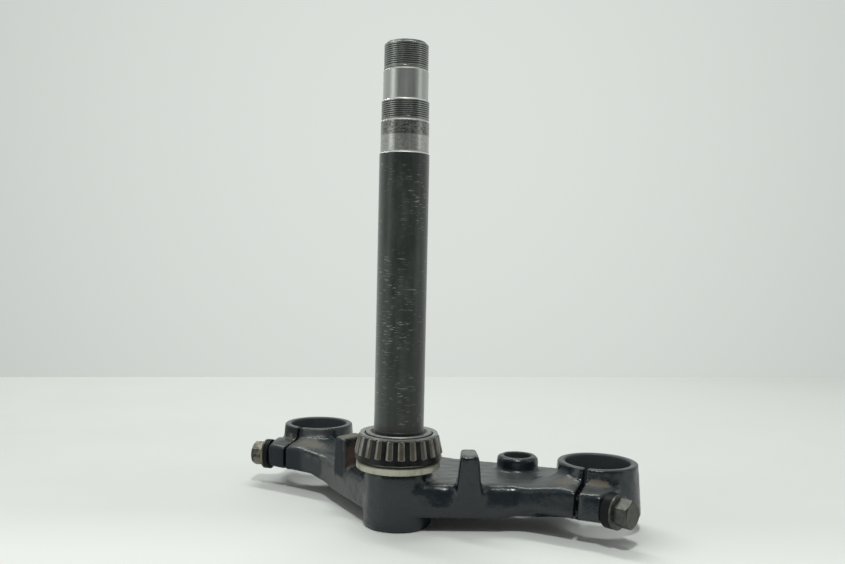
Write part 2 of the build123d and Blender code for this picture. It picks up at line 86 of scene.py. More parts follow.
camera = bpy.data.objects.new("photo_camera", bpy.data.cameras.new("photo_camera"))
camera.data.sensor_width = SENSOR_WIDTH
camera.data.lens = FOCAL_PIXELS * SENSOR_WIDTH / PHOTO_SIZE[0]
camera.data.clip_start = NEAREST
camera.matrix_world = Matrix(np.vstack([np.column_stack([RIGHT, UP, -FORWARD, EYE]), [0, 0, 0, 1]]))
scene.collection.objects.link(camera)
scene.camera = camera
print(f"lens {camera.data.lens:.1f} mm, {np.linalg.norm(EYE):.2f} m from the stem's foot")

# %% [markdown]
# New meshes are worked out with numpy, as whole arrays. They could be built point by point with bmesh, but
# one helper that hands over all points and faces at once is shorter, and no Python loop runs over points.

# %% Mesh helper
def make_piece(name, points, faces):
    """A new smooth object at the origin, from an array of points and an array of faces with equal corners."""
    mesh = bpy.data.meshes.new(name)
    mesh.from_pydata(np.asarray(points).tolist(), [], np.asarray(faces).tolist())
    mesh.polygons.foreach_set("use_smooth", np.full(len(mesh.polygons), True))
    mesh.update()
    piece = bpy.data.objects.new(name, mesh)
    scene.collection.objects.link(piece)
    return piece


# %% [markdown]
# The part stands on a pale table, in front of a pale wall. A plane could be added and scaled until it fits.
# Here its four corners are worked out instead, so that the far edge lies on the line where table and wall
# meet. The wall needs no mesh: it is the colour of the world.

# %% Table
TABLE_LINE = 377
TABLE_REACH = 4.0


def table_point(x, y):
    """Where the ray through a pixel meets the table: the eye plus the ray, as far as z = 0."""
    across, down = (np.array([x, y]) - PHOTO_SIZE / 2) / FOCAL_PIXELS
    ray = FORWARD + across * RIGHT - down * UP
    return EYE - ray * EYE[2] / ray[2]


far_left = table_point(0, TABLE_LINE)
far_right = table_point(PHOTO_SIZE[0], TABLE_LINE)
along = (far_right - far_left) / np.linalg.norm(far_right - far_left)
towards = np.cross(along, [0, 0, 1])
corners = [far_left - along * TABLE_REACH, far_right + along * TABLE_REACH]
corners += [corners[1] + towards * TABLE_REACH, corners[0] + towards * TABLE_REACH]
table = make_piece("table", corners, [[3, 2, 1, 0]])
print(f"the table ends {np.linalg.norm((far_left + far_right) / 2):.2f} m behind the part")

# %% [markdown]
# A sun lamp would give one hard shadow, and gloss paint would show it as a dot. Area lamps give soft shadows
# and bright shapes to mirror. A small one, high up on the camera's side, draws the short shadow under the
# arms. A long one overhead, to the left and a little behind, draws the bright line along each upper edge.
# Two tall strips stand at the sides, and show as stripes on turned steel. All have the room's faint green.

# %% Lamps
ROOM_TINT = np.array([0.955, 1.0, 0.955])
LIT_PLACE = np.array([0, 0.03, 0.05])
LAMP_RISE = np.array([0, 0, 1.15])
STRIP_RISE = np.array([0, 0, 0.3])
KEY_BACK = 0.68
EDGE_ASIDE = np.array([-0.5, 0.30, 0])
LEFT_ASIDE, LEFT_BACK = 0.81, 0.39
RIGHT_ASIDE, RIGHT_BACK = 0.86, 0.25


def soft_box(name, place, aim, width, height, power):
    """A rectangular lamp at a place, turned so that its face looks at the aim."""
    lamp = bpy.data.lights.new(name, "AREA")
    lamp.color = ROOM_TINT
    lamp.shape = "RECTANGLE"
    lamp.size = width
    lamp.size_y = height
    lamp.energy = power
    box = bpy.data.objects.new(name, lamp)
    box.location = place
    box.rotation_euler = (Vector(aim) - Vector(place)).to_track_quat("-Z", "Y").to_euler()
    scene.collection.objects.link(box)


level = np.array([FORWARD[0], FORWARD[1], 0]) / np.hypot(FORWARD[0], FORWARD[1])
key_place = LIT_PLACE - KEY_BACK * level + LAMP_RISE
edge_aim = LIT_PLACE + EDGE_ASIDE
left_place = LIT_PLACE - LEFT_ASIDE * RIGHT - LEFT_BACK * level + STRIP_RISE
right_place = LIT_PLACE + RIGHT_ASIDE * RIGHT - RIGHT_BACK * level + STRIP_RISE
soft_box("key_lamp", key_place, LIT_PLACE, width=0.13, height=0.13, power=8.0)
soft_box("edge_lamp", edge_aim + LAMP_RISE, edge_aim, width=1.2, height=0.16, power=7.0)
soft_box("left_strip", left_place, LIT_PLACE, width=0.30, height=0.9, power=1.1)
soft_box("right_strip", right_place, LIT_PLACE, width=0.20, height=0.9, power=0.52)

# %% [markdown]
# The room has a pale wall behind the part and is dim behind the camera. A picture of a room could stand in
# for it, but a ramp of greys is enough and needs no file. The brightness follows how far a direction points
# away from the camera, and it falls a little towards the ceiling.

# %% Pale room
WALL_STEPS = ((0.0, 0.13), (0.22, 0.14), (0.47, 0.47), (0.93, 0.60), (1.0, 0.75))
WALL_TILT = 0.15
CEILING = {"From Min": 0.30, "To Min": 1.0, "From Max": 0.65, "To Max": 0.85}

world = bpy.data.worlds.new("pale_room")
world.use_nodes = True
scene.world = world
steps = world.node_tree.nodes
wires = world.node_tree.links
away = level + [0, 0, WALL_TILT]
direction = steps.new("ShaderNodeTexCoord")
facing = steps.new("ShaderNodeVectorMath")
facing.operation = "DOT_PRODUCT"
facing.inputs[1].default_value = away / np.linalg.norm(away)
share = steps.new("ShaderNodeMapRange")
share.inputs["From Min"].default_value = -1
ramp = steps.new("ShaderNodeValToRGB")
while len(ramp.color_ramp.elements) < len(WALL_STEPS):
    ramp.color_ramp.elements.new(0.5)
for element, (place, brightness) in zip(ramp.color_ramp.elements, WALL_STEPS):
    element.position = place
    element.color = (*(brightness * ROOM_TINT), 1)
rise = steps.new("ShaderNodeSeparateXYZ")
fade = steps.new("ShaderNodeMapRange")
for key, number in CEILING.items():
    fade.inputs[key].default_value = number
wires.new(direction.outputs["Generated"], facing.inputs[0])
wires.new(facing.outputs["Value"], share.inputs["Value"])
wires.new(share.outputs["Result"], ramp.inputs["Fac"])
wires.new(ramp.outputs["Color"], steps["Background"].inputs["Color"])
wires.new(direction.outputs["Generated"], rise.inputs[0])
wires.new(rise.outputs["Z"], fade.inputs["Value"])
wires.new(fade.outputs["Result"], steps["Background"].inputs["Strength"])
print(f"a room of {len(WALL_STEPS)} steps of brightness")

# %% [markdown]
# A finish is a network of nodes, usually wired by hand in the shader editor. Every finish here is made of the
# same few steps: a noise, a range of it, a blend of two colours, a bump. A small class names those steps, so
# that each finish below reads as a recipe.

# %% Recipe for a finish
NOISE_ROUGHNESS = 0.55


class Finish:
    """A procedural material in the making. Each step adds a node and hands back its output."""

    def __init__(self, name, **constants):
        self.material = bpy.data.materials.new(name)
        self.material.use_nodes = True
        self.tree = self.material.node_tree
        self.shader = self.tree.nodes["Principled BSDF"]
        self.place = self.node("ShaderNodeTexCoord").outputs["Object"]
        for socket, value in constants.items():
            self.shader.inputs[socket.replace("_", " ")].default_value = value

    def node(self, kind, **settings):
        """Adds a node and sets its own properties."""
        made = self.tree.nodes.new(kind)
        for key, value in settings.items():
            setattr(made, key, value)
        return made

    def feed(self, socket, value):
        """Puts an output, a number or a colour into an input."""
        if isinstance(value, bpy.types.NodeSocket):
            self.tree.links.new(value, socket)
        elif isinstance(value, tuple) and len(socket.default_value) == 4:
            socket.default_value = (*value, 1)
        else:
            socket.default_value = value

    def give(self, socket, value):
        """Feeds one of the shader's own inputs."""
        self.feed(self.shader.inputs[socket], value)

    def scaled(self, stretch):
        """Object coordinates, stretched by a factor along each axis."""
        mapping = self.node("ShaderNodeMapping")
        self.feed(mapping.inputs["Vector"], self.place)
        mapping.inputs["Scale"].default_value = stretch
        return mapping.outputs["Vector"]

    def noise(self, size, detail=3.0, stretch=None):
        """Noise from 0 to 1, with lumps of about the given size in millimetres."""
        noise = self.node("ShaderNodeTexNoise")
        self.feed(noise.inputs["Vector"], self.scaled(stretch) if stretch else self.place)
        noise.inputs["Scale"].default_value = 1 / (size * MM)
        noise.inputs["Detail"].default_value = detail
        noise.inputs["Roughness"].default_value = NOISE_ROUGHNESS
        return noise.outputs["Fac"]

    def span(self, value, low, high, start=0.0, end=1.0):
        """Takes a value from low to high on to start to end, held at both."""
        span = self.node("ShaderNodeMapRange")
        for key, number in zip(("From Min", "From Max", "To Min", "To Max"), (low, high, start, end)):
            span.inputs[key].default_value = number
        self.feed(span.inputs["Value"], value)
        return span.outputs["Result"]

    def arithmetic(self, operation, first, second):
        """One of the Math node's operations on two values."""
        result = self.node("ShaderNodeMath", operation=operation)
        self.feed(result.inputs[0], first)
        self.feed(result.inputs[1], second)
        return result.outputs["Value"]

    def times(self, first, second):
        """The product of two values."""
        return self.arithmetic("MULTIPLY", first, second)

    def plus(self, first, second):
        """The sum of two values."""
        return self.arithmetic("ADD", first, second)

    def larger(self, first, second):
        """The larger of two values."""
        return self.arithmetic("MAXIMUM", first, second)

    def blend(self, amount, first, second):
        """The first colour where the amount is 0, and the second where it is 1."""
        mix = self.node("ShaderNodeMix", data_type="RGBA")
        self.feed(mix.inputs["Factor"], amount)
        self.feed(mix.inputs[6], first)
        self.feed(mix.inputs[7], second)
        return mix.outputs[2]

    def shift(self, amount, first, second):
        """The first number where the amount is 0, and the second where it is 1."""
        mix = self.node("ShaderNodeMix", data_type="FLOAT")
        self.feed(mix.inputs[0], amount)
        self.feed(mix.inputs[2], first)
        self.feed(mix.inputs[3], second)
        return mix.outputs[0]

    def mask(self, name):
        """A number that was stored on the mesh's points."""
        return self.node("ShaderNodeAttribute", attribute_name=name).outputs["Fac"]

    def axis(self, letter):
        """One object coordinate, in metres."""
        split = self.node("ShaderNodeSeparateXYZ")
        self.feed(split.inputs[0], self.place)
        return split.outputs[letter]

    def along(self, heading):
        """How far the place lies along a heading of length 1, in metres."""
        dot = self.node("ShaderNodeVectorMath", operation="DOT_PRODUCT")
        self.feed(dot.inputs[0], self.place)
        dot.inputs[1].default_value = heading
        return dot.outputs["Value"]

    def reach(self):
        """Distance from the stem's axis, in metres."""
        length = self.node("ShaderNodeVectorMath", operation="LENGTH")
        self.feed(length.inputs[0], self.scaled((1, 1, 0)))
        return length.outputs["Value"]

    def upward(self):
        """How far the surface faces up, from -1 to 1."""
        split = self.node("ShaderNodeSeparateXYZ")
        self.feed(split.inputs[0], self.node("ShaderNodeNewGeometry").outputs["Normal"])
        return split.outputs["Z"]

    def bump(self, height, depth, strength=1.0):
        """Roughens the surface by a height from 0 to 1, as deep as the given millimetres."""
        bump = self.node("ShaderNodeBump")
        bump.inputs["Strength"].default_value = strength
        bump.inputs["Distance"].default_value = depth * MM
        self.feed(bump.inputs["Height"], height)
        self.give("Normal", bump.outputs["Normal"])

    def dress(self, *pieces):
        """Makes this the only material of the pieces."""
        for piece in pieces:
            piece.data.materials.clear()
            piece.data.materials.append(self.material)


print("recipe steps:", ", ".join(step for step in vars(Finish) if not step.startswith("_")))

# %% [markdown]
# The table is plain and pale, with faint smudges, and it looks lighter far away and close to the camera. More
# lamps could lighten those ends, but they would light the part as well. So the colour itself is graded.

# %% Table finish
TABLE_GREYS = (0.68, 0.68, 0.675), (0.71, 0.71, 0.705)
FAR_WHITE = (0.83, 0.83, 0.82)
NEAR_WHITE = (0.79, 0.79, 0.78)
FAR_RANGE = (0.0, 0.7)
NEAR_RANGE = (0.02, -0.06)

table_finish = Finish("pale_table", Roughness=0.6)
smudge = table_finish.span(table_finish.noise(120, 4), 0.35, 0.7)
beyond = table_finish.span(table_finish.axis("Y"), *FAR_RANGE)
nearer = table_finish.span(table_finish.along(level), *NEAR_RANGE)
pale = table_finish.blend(smudge, *TABLE_GREYS)
pale = table_finish.blend(nearer, pale, NEAR_WHITE)
table_finish.give("Base Color", table_finish.blend(beyond, pale, FAR_WHITE))
table_finish.dress(table)
print(f"table finish of {len(table_finish.tree.nodes)} nodes")

# %% [markdown]
# The yoke is cast in sand, then painted, so none of its blends is sharp. The solid is exact, which looks too
# hard in gloss paint. It could be sculpted by hand. Here a copy of its mesh becomes an even net of points
# that numpy can move, because a formula gives the same casting on every run. These helpers carry the points
# from Blender to numpy and back.

# %% Nets of points
SAME_CORNER = 1e-6


def merged_copy(node, name):
    """A copy of a solid's mesh with its loose triangles joined at their corners."""
    mesh = nodes[node].data.copy()
    mesh.name = name
    net = bmesh.new()
    net.from_mesh(mesh)
    bmesh.ops.remove_doubles(net, verts=net.verts, dist=SAME_CORNER)
    net.to_mesh(mesh)
    net.free()
    piece = bpy.data.objects.new(name, mesh)
    scene.collection.objects.link(piece)
    return piece


def settle(piece, kind, **settings):
    """Adds a modifier and keeps its result as the piece's mesh."""
    modifier = piece.modifiers.new(kind, kind)
    for key, value in settings.items():
        setattr(modifier, key, value)
    result = bpy.data.meshes.new_from_object(piece.evaluated_get(bpy.context.evaluated_depsgraph_get()))
    piece.modifiers.clear()
    piece.data = result


def read_points(mesh):
    """The mesh's points as an array of x, y and z."""
    points = np.empty(len(mesh.vertices) * 3)
    mesh.vertices.foreach_get("co", points)
    return points.reshape(-1, 3)


def read_normals(mesh):
    """The points' normals as an array."""
    normals = np.empty(len(mesh.vertices) * 3)
    mesh.vertex_normals.foreach_get("vector", normals)
    return normals.reshape(-1, 3)


def read_edges(mesh):
    """The mesh's edges as pairs of point numbers."""
    edges = np.empty(len(mesh.edges) * 2, dtype=int)
    mesh.edges.foreach_get("vertices", edges)
    return edges.reshape(-1, 2)


def write_points(mesh, points):
    """Puts an array of points back into the mesh."""
    mesh.vertices.foreach_set("co", points.ravel())
    mesh.update()


print(f"the yoke's solid has {len(nodes['yoke'].data.vertices)} loose corners")

# %% [markdown]
# Two more tools shape the net. Smoothing moves each point towards its neighbours, as the Smooth modifier
# does. In numpy an array of weights can say how far each point may follow. The weights come from soft masks:
# simple curves of a distance or of a coordinate, which are multiplied to mark one region of the casting.

# %% Smoothing and soft masks
def relax(points, edges, weight, rounds):
    """Laplacian smoothing: each round moves a point half of its weight towards its neighbours' mean."""
    first, second = edges[(weight[edges] > 0).any(1)].T
    count = len(points)
    degree = np.bincount(np.append(first, second), minlength=count).clip(1)[:, None]
    for _ in range(rounds):
        axes = [np.bincount(first, v[second], count) + np.bincount(second, v[first], count) for v in points.T]
        points = points + 0.5 * weight[:, None] * (np.column_stack(axes) / degree - points)
    return points


def near(distance, reach):
    """1 at no distance, falling as 1 - (distance / reach)^2 to 0 at the reach."""
    return np.clip(1 - (np.abs(distance) / reach) ** 2, 0, 1)


def climb(value, low, high):
    """0 below low and 1 above high, with the smooth step 3t^2 - 2t^3 between them."""
    t = np.clip((value - low) / (high - low), 0, 1)
    return t * t * (3 - 2 * t)


def fall(value, low, high):
    """1 below low and 0 above high: the climb, turned round."""
    return climb(-value, -high, -low)


print("a climb at a quarter, a half and three quarters:", climb(np.array([0.25, 0.5, 0.75]), 0, 1))

# %% [markdown]
# The CAD mesh has long, thin triangles, which can't be smoothed evenly. Subdividing would keep them thin. A
# voxel remesh lays a new net of equal squares over the same skin.

# %% Even net over the yoke
VOXEL = 0.62

casting = merged_copy("yoke", "cast_yoke")
settle(casting, "REMESH", mode="VOXEL", voxel_size=VOXEL * MM)
points = read_points(casting.data)
edges = read_edges(casting.data)
print(f"casting: {len(points)} points, about {VOXEL} mm apart")

# %% [markdown]
# The masks need to know where a point lies on the yoke: how far it is from a bore's axis, how far out along
# an arm, how far behind the arm's middle line. Groups of points could be picked by hand. Distances are used
# instead, because they hold for a net of any fineness. All of them are in millimetres.

# %% Places on the yoke
CLAMP_X, CLAMP_Y = 101.5, 59.6
LOCK_X, LOCK_Y = 50.5, 59.6
ARM_TURN = np.radians(31.5)


def yoke_places(points):
    """Where points lie: x, y, z and the distance aside, distances from the axes of the nearer ring, the lock
    boss and the stem, and the ways along and behind the nearer arm, which is turned by ARM_TURN."""
    x, y, z = points.T / MM
    side = np.abs(x)
    return SimpleNamespace(
        x=x, y=y, z=z, side=side,
        from_ring=np.hypot(side - CLAMP_X, y - CLAMP_Y),
        from_lock=np.hypot(x - LOCK_X, y - LOCK_Y),
        from_stem=np.hypot(x, y),
        along_arm=side * np.cos(ARM_TURN) + y * np.sin(ARM_TURN),
        behind_arm=side * np.sin(ARM_TURN) - y * np.cos(ARM_TURN),
    )


at = yoke_places(points)
print(f"the yoke reaches {at.side.max():.0f} mm aside and {at.behind_arm.max():.0f} mm behind its arms")

# %% [markdown]
# After casting, the bores, their faces, the slits and the foot were machined, and those edges stay crisp.
# They could be cut again after the smoothing. It is simpler to hold their points still, with a weight of
# nearly nothing.

# %% Machined faces
FORK_BORE_R = 19.0
LOCK_BORE_R = 8.35
BOSS_BORE_R = 15.0
CLAMP_TOP = 39.0
BOSS_TOP = 33.9
RING_REACH = 26
BOSS_REACH = 21
BORE_HOLD = 1.6
RIM_HOLD = 2.0
SEAT_HOLD = 1.2
SLIT_HOLD = 3.5
FOOT_HOLD = 1.0
HELD = 0.95

machined = np.maximum.reduce([
    near(at.from_ring - FORK_BORE_R, BORE_HOLD),
    near(at.from_lock - LOCK_BORE_R, BORE_HOLD),
    near(at.from_stem - BOSS_BORE_R, BORE_HOLD),
    near(at.z - CLAMP_TOP, RIM_HOLD) * (at.from_ring < RING_REACH),
    near(at.z - BOSS_TOP, SEAT_HOLD) * (at.from_stem < BOSS_REACH),
    near(at.side - CLAMP_X, SLIT_HOLD) * (at.y < CLAMP_Y),
    near(at.z, FOOT_HOLD),
])
softness = 1 - HELD * machined
print(f"{machined.mean():.0%} of the casting is held as machined")

# %% [markdown]
# Each ring has an ear, which the slit cuts in two and a pinch bolt draws together. The ears' tops run level
# out to the bolts, so their outer ends are lifted a little first. Then all corners are melted, and so is the
# crease where an ear runs out into its arm. A Bevel modifier would need clean edges, which this net lacks.

# %% Ears and soft corners
EAR_LIFT = 1.7
EAR_LIFT_X = (102.5, 116.0)
EAR_LIFT_Z = (20.0, 26.0)
EAR_CLEAR_OF_RING = (24.5, 28.0)
RUN_OUT_X = (58.0, 68.0)
RUN_OUT_Z = (15.0, 19.0)
CLEAR_OF_BORE = 39.0
FIRST_ROUNDS = 2
SOFT_ROUNDS = 9
RUN_OUT_ROUNDS = 120

lift = climb(at.side, *EAR_LIFT_X) * climb(at.z, *EAR_LIFT_Z) * climb(at.from_ring, *EAR_CLEAR_OF_RING)
points[:, 2] += EAR_LIFT * MM * lift
points = relax(points, edges, np.ones(len(points)), FIRST_ROUNDS)
points = relax(points, edges, softness, SOFT_ROUNDS)
run_out = climb(at.side, *RUN_OUT_X) * fall(at.z, *RUN_OUT_Z) * (at.y < CLEAR_OF_BORE)
points = relax(points, edges, softness * run_out, RUN_OUT_ROUNDS)
print(f"ears lifted by {EAR_LIFT} mm, {np.mean(run_out > 0):.0%} of the points melted into the arms")

# %% [markdown]
# The rear walls of the arms are rounder than the solid's. On the right, where it shows, the upper half of the
# wall leans in, on both sides of the steering-stop lug, which stands proud of it. A bump in the paint could
# only pretend this, so the points themselves move. Then the upper edges of both arms and ears are rounded.

# %% Round rear walls
ARM_LEAN = 1.6
ARM_LEAN_Z = (15.5, 23.5)
ARM_LEAN_DEPTH = (6.0, 17.0)
LEAN_CLEAR_OF_STEM = (22, 28)
LEAN_CLEAR_OF_RING = (27, 31)
LUG_ALONG = 40.5
LUG_HALF = (8.0, 12.0)
LUG_CLEAR = 13.0
ARM_REAR = 19.0
ARM_EDGE_REACH = 9
ARM_EDGE_Z = (14.0, 19.0)
EAR_REAR = 20.5
EAR_EDGE_REACH = 10
EAR_EDGE_X = (66, 80)
SLIT_CLEAR = 2.2
EDGE_CLEAR_OF_RING = (26, 29)
EDGE_ROUNDS = 50

lean = np.clip((at.z - ARM_LEAN_Z[0]) / (ARM_LEAN_Z[1] - ARM_LEAN_Z[0]), 0, 1)
lean *= climb(at.behind_arm, *ARM_LEAN_DEPTH) * climb(np.abs(at.along_arm - LUG_ALONG), *LUG_HALF)
lean *= climb(at.from_stem, *LEAN_CLEAR_OF_STEM) * climb(at.from_ring, *LEAN_CLEAR_OF_RING)
lean *= ARM_LEAN * MM * (at.x > 0)
points[:, 0] -= np.sin(ARM_TURN) * lean * fall(at.x, *EAR_EDGE_X)
points[:, 1] += np.cos(ARM_TURN) * lean
arm_edge = near(at.behind_arm - ARM_REAR, ARM_EDGE_REACH) * (1 - near(at.along_arm - LUG_ALONG, LUG_CLEAR))
ear_edge = climb(at.side, *EAR_EDGE_X) * near(at.y - EAR_REAR, EAR_EDGE_REACH)
ear_edge *= 1 - near(at.side - CLAMP_X, SLIT_CLEAR)
upper_edge = np.maximum(arm_edge, ear_edge) * climb(at.z, *ARM_EDGE_Z)
upper_edge *= climb(at.from_ring, *EDGE_CLEAR_OF_RING)
points = relax(points, edges, upper_edge, EDGE_ROUNDS)
print(f"rear wall leans in by {lean.max() / MM:.1f} mm, {np.mean(upper_edge > 0):.0%} of the points rounded")

# %% [markdown]
# A casting is also a little lumpy, and that breaks up the shine along its edges. A Displace modifier with a
# noise would do. Here the lumps are a sum of sine waves in random directions, with wavelengths of a few
# millimetres, along the surface's normal. The directions come from a fixed seed, so every run is the same.

# %% Lumps
LUMP_SEED = 7
LUMP_WAVES = 24
LUMP_HEIGHT = 0.055
LUMP_SIZES = (3.5, 12.0)

write_points(casting.data, points)
chance = np.random.default_rng(LUMP_SEED)
aims = chance.normal(size=(LUMP_WAVES, 3))
aims /= np.linalg.norm(aims, axis=1)[:, None]
lengths = chance.uniform(*LUMP_SIZES, LUMP_WAVES) * MM
phases = chance.uniform(0, 2 * np.pi, LUMP_WAVES)
waves = np.sin(points @ (aims / lengths[:, None] * 2 * np.pi).T + phases)
lumps = waves.sum(1) / np.sqrt(LUMP_WAVES / 2)
points = points + read_normals(casting.data) * (lumps * LUMP_HEIGHT * MM * softness)[:, None]
points = np.clip(points, cad_low, cad_high)
write_points(casting.data, points)
print(f"lumps: {np.abs(lumps * LUMP_HEIGHT).max():.2f} mm at most")

# %% [markdown]
# Dirt gathers in corners. An ambient occlusion node finds corners too, but only while Blender renders. To
# keep them with the mesh, the net is smoothed much further: where the smooth skin lies outside the casting
# there is a hollow, and where it lies inside there is an edge. That signed distance is the bend.

# %% Hollows and edges
HOLLOW_ROUNDS = 40

smooth_skin = relax(points, edges, np.ones(len(points)), HOLLOW_ROUNDS)
normals = read_normals(casting.data)
bend = np.einsum("ij,ij->i", smooth_skin - points, normals) / MM
print(f"hollows up to {bend.max():.2f} mm deep, edges up to {-bend.min():.2f} mm high")

# %% [markdown]
# Tan dirt lies beside the slits, on the left lug and at the left arm's root. Rust has started at the slits
# and at the left lug, and the top of the right lug is worn. The far rim of the right ring gets the same pale
# grey as a painted reflection. Such patches could be painted by hand. Here each is a soft ball, with a
# place, a reach along each axis and a strength, so that it can be moved by changing a number.

# %% Patches of dirt, rust and wear
RIGHT_LUG = np.array([41.8, 9.3, 46.0])
LEFT_LUG = RIGHT_LUG * [-1, 1, 1]
# Place and reach in millimetres, and strength
DIRT = (
    ((92, 31.5, 31.5), (12, 8, 5), 1.3),
    ((109, 37, 31.5), (13, 6, 5), 1.3),
    ((-88, 31, 30), (24, 10, 6), 1.6),
    ((-108, 37, 33), (9, 7, 8), 0.7),
    (LEFT_LUG, (12, 12, 4), 1.8),
    ((-26, 2, 28), (10, 12, 8), 0.6),
)
RUST = (
    ((-101.5, 33, 30), (3, 12, 12), 0.9),
    ((101.5, 35, 31), (3, 5, 5), 0.6),
    ((90, 32, 31.5), (7, 5, 4), 0.7),
    ((-37, 5.3, 34), (4, 9, 14), 1.4),
    ((-30, 3, 29), (6, 6, 5), 0.6),
)
# worn top of the right lug, and a painted reflection on the right ring's far rim
WEAR_AND_REFLECTION = (
    (RIGHT_LUG, (11, 11, 3.5), 1.2),
    ((101.5, 83, 39), (30, 8, 2), 0.7),
)


def patches_at(spots):
    """The strongest of some soft balls: each falls evenly from its strength to 0 at its reach."""
    balls = []
    for place, reach, strength in spots:
        far = np.linalg.norm((points / MM - place) / reach, axis=1)
        balls.append(strength * np.clip(1 - far, 0, 1))
    return np.max(balls, axis=0)


masks = {"bend": bend, "dirt": patches_at(DIRT), "rust": patches_at(RUST), "wear": patches_at(WEAR_AND_REFLECTION)}
print(", ".join(f"{name} on {np.mean(values > 0.1):.1%}" for name, values in masks.items()), "of the points")

# %% [markdown]
# Some places differ as a whole: the bores' walls, the slits and the rings' rims. The slits get a painted
# shade, near black, that makes them look darker and wider. On the left, the arm's rear wall gets a lighter
# grey haze, which is a painted reflection, and the lug and the ear are dull. Each is a mask from a distance
# or from the way a face looks, because those places are known exactly.

# %% Bores, slits and haze
BORE_SKIN = 0.8
SLIT_SHADE = 1.5
RIM_SKIN = 0.9
REFLECTION_HAZE_X = (25, 45)
REAR_WALL_LIMIT = ARM_REAR + 1.0
GRIME_STEP = 0.6
FACES_REAR = 0.5
EAR_GRIME_X = (82, 90)
EAR_GRIME_FACING = (0.6, 0.85)

at = yoke_places(points)
rearward = -normals[:, 1]
fork_bores = near(at.from_ring - FORK_BORE_R, BORE_SKIN)
lock_bore = near(at.from_lock - LOCK_BORE_R, BORE_SKIN)
masks["bored"] = np.maximum(fork_bores, lock_bore)
# painted shade: the slits and their borders go near black, so that the gaps look darker and wider
masks["slit"] = near(at.side - CLAMP_X, SLIT_SHADE) * (at.y < CLAMP_Y)
# painted reflection: a lighter grey haze on the left arm's rear wall
haze = np.clip((-at.x - REFLECTION_HAZE_X[0]) / (REFLECTION_HAZE_X[1] - REFLECTION_HAZE_X[0]), 0, 1)
masks["haze"] = haze * (rearward > FACES_REAR) * (at.behind_arm < REAR_WALL_LIMIT)
masks["rim"] = near(at.z - CLAMP_TOP, RIM_SKIN) * (at.from_ring < RING_REACH)
lug_face = climb(at.behind_arm, REAR_WALL_LIMIT, REAR_WALL_LIMIT + GRIME_STEP)
lug_face *= near(at.along_arm - LUG_ALONG, LUG_CLEAR) * (at.x < 0)
ear_face = climb(-at.x, *EAR_GRIME_X) * climb(rearward, *EAR_GRIME_FACING)
masks["grime"] = np.maximum(lug_face, ear_face)
print(f"{len(masks)} masks for the paint")

# %% [markdown]
# Last, the masks are stored on the points, where the paint can read them, and the net is thinned. A fine net
# was good for smoothing, but most of it lies on nearly flat walls, and a Decimate modifier takes points out
# there first and carries the masks along. The result rides with the fixed body, and stands for the solid.

# %% Finished casting
CASTING_TRIANGLES = 190000

for name, values in masks.items():
    casting.data.attributes.new(name, "FLOAT", "POINT").data.foreach_set("value", values.astype(np.float32))
triangles = 2 * len(casting.data.polygons)
settle(casting, "DECIMATE", ratio=CASTING_TRIANGLES / triangles)
casting.data.polygons.foreach_set("use_smooth", np.ones(len(casting.data.polygons), bool))
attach(casting, "clamp")
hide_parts("yoke")
print(f"casting: {triangles} triangles thinned to {len(casting.data.polygons)}")

# %% [markdown]
# The paint is old and dirty in several ways. Dust lies where faces look up. The left arm's rear wall gets a
# lighter grey haze, which is a painted reflection. Tan dirt sits in the hollows of its patches, and rust,
# bare metal and the painted reflection on the right ring's rim have ragged rims. One way is a painted picture
# for each. Here the masks and a few noises say how much of each there is at a place.

# %% Dust, painted reflection, dirt and rust on the paint
paint = Finish("black_paint", Specular_IOR_Level=0.60)
clouds = paint.noise(14, 5)
grain = paint.noise(1.5, 4)
ragged = paint.span(grain, 0.25, 0.75, -0.35, 0.35)
hollow = paint.span(paint.mask("bend"), 0.01, 0.16)
dust_and_reflection = paint.times(paint.span(paint.upward(), 0.8, 1.0, 0.0, 0.5), paint.span(clouds, 0.3, 0.7, 0.5, 1))
dust_and_reflection = paint.times(dust_and_reflection, paint.span(paint.axis("X"), -0.03, 0.0, 0.45, 1.0))
# the haze of painted reflection joins the dust
hazed = paint.times(paint.mask("haze"), paint.span(clouds, 0.3, 0.7, 0.3, 0.75))
dust_and_reflection = paint.shift(paint.mask("rim"), paint.larger(dust_and_reflection, hazed), 0.1)
caught = paint.times(paint.mask("dirt"), paint.span(hollow, 0, 1, 0.75, 1.3))
dirty = paint.span(paint.plus(caught, ragged), 0.3, 1.0, 0.0, 0.75)
rusty = paint.span(paint.plus(paint.mask("rust"), ragged), 0.3, 0.9, 0.0, 0.8)
# wear on the right lug and painted reflection on the right ring's rim, with ragged edges
worn_and_reflecting = paint.span(paint.plus(paint.mask("wear"), ragged), 0.35, 0.8, 0.0, 0.7)
print(f"amounts of dust, dirt, rust and wear from {len(paint.tree.nodes)} nodes")

# %% [markdown]
# The paint itself is blue-black and half glossy, with a faint orange peel, and inside the bores it is thin
# and dull. Separate shaders for paint, dust and rust could be mixed. It is simpler to keep one shader and to
# blend one colour after another into it. Dirt takes the gloss away, so the roughness follows the same
# amounts.

# %% Black paint
BLACK_PAINT = (0.0040, 0.0090, 0.0140)
# the grey of dust, also used for the painted reflection on the left arm's rear wall
DUST_AND_REFLECTION_GREY = (0.100, 0.106, 0.100)
BORE_GREY = (0.030, 0.034, 0.040)
# bare metal, also the grey of the painted reflection on the right ring's rim
BARE_METAL_AND_REFLECTION = (0.20, 0.21, 0.20)
TAN_DIRT = (0.16, 0.138, 0.105)
RUST_BROWN = (0.060, 0.032, 0.018)
# near-black painted shade over the slits
SLIT_PAINTED_SHADE = (0.004, 0.003, 0.0025)
DUSTY, THIN, DULL = 0.50, 0.55, 0.85

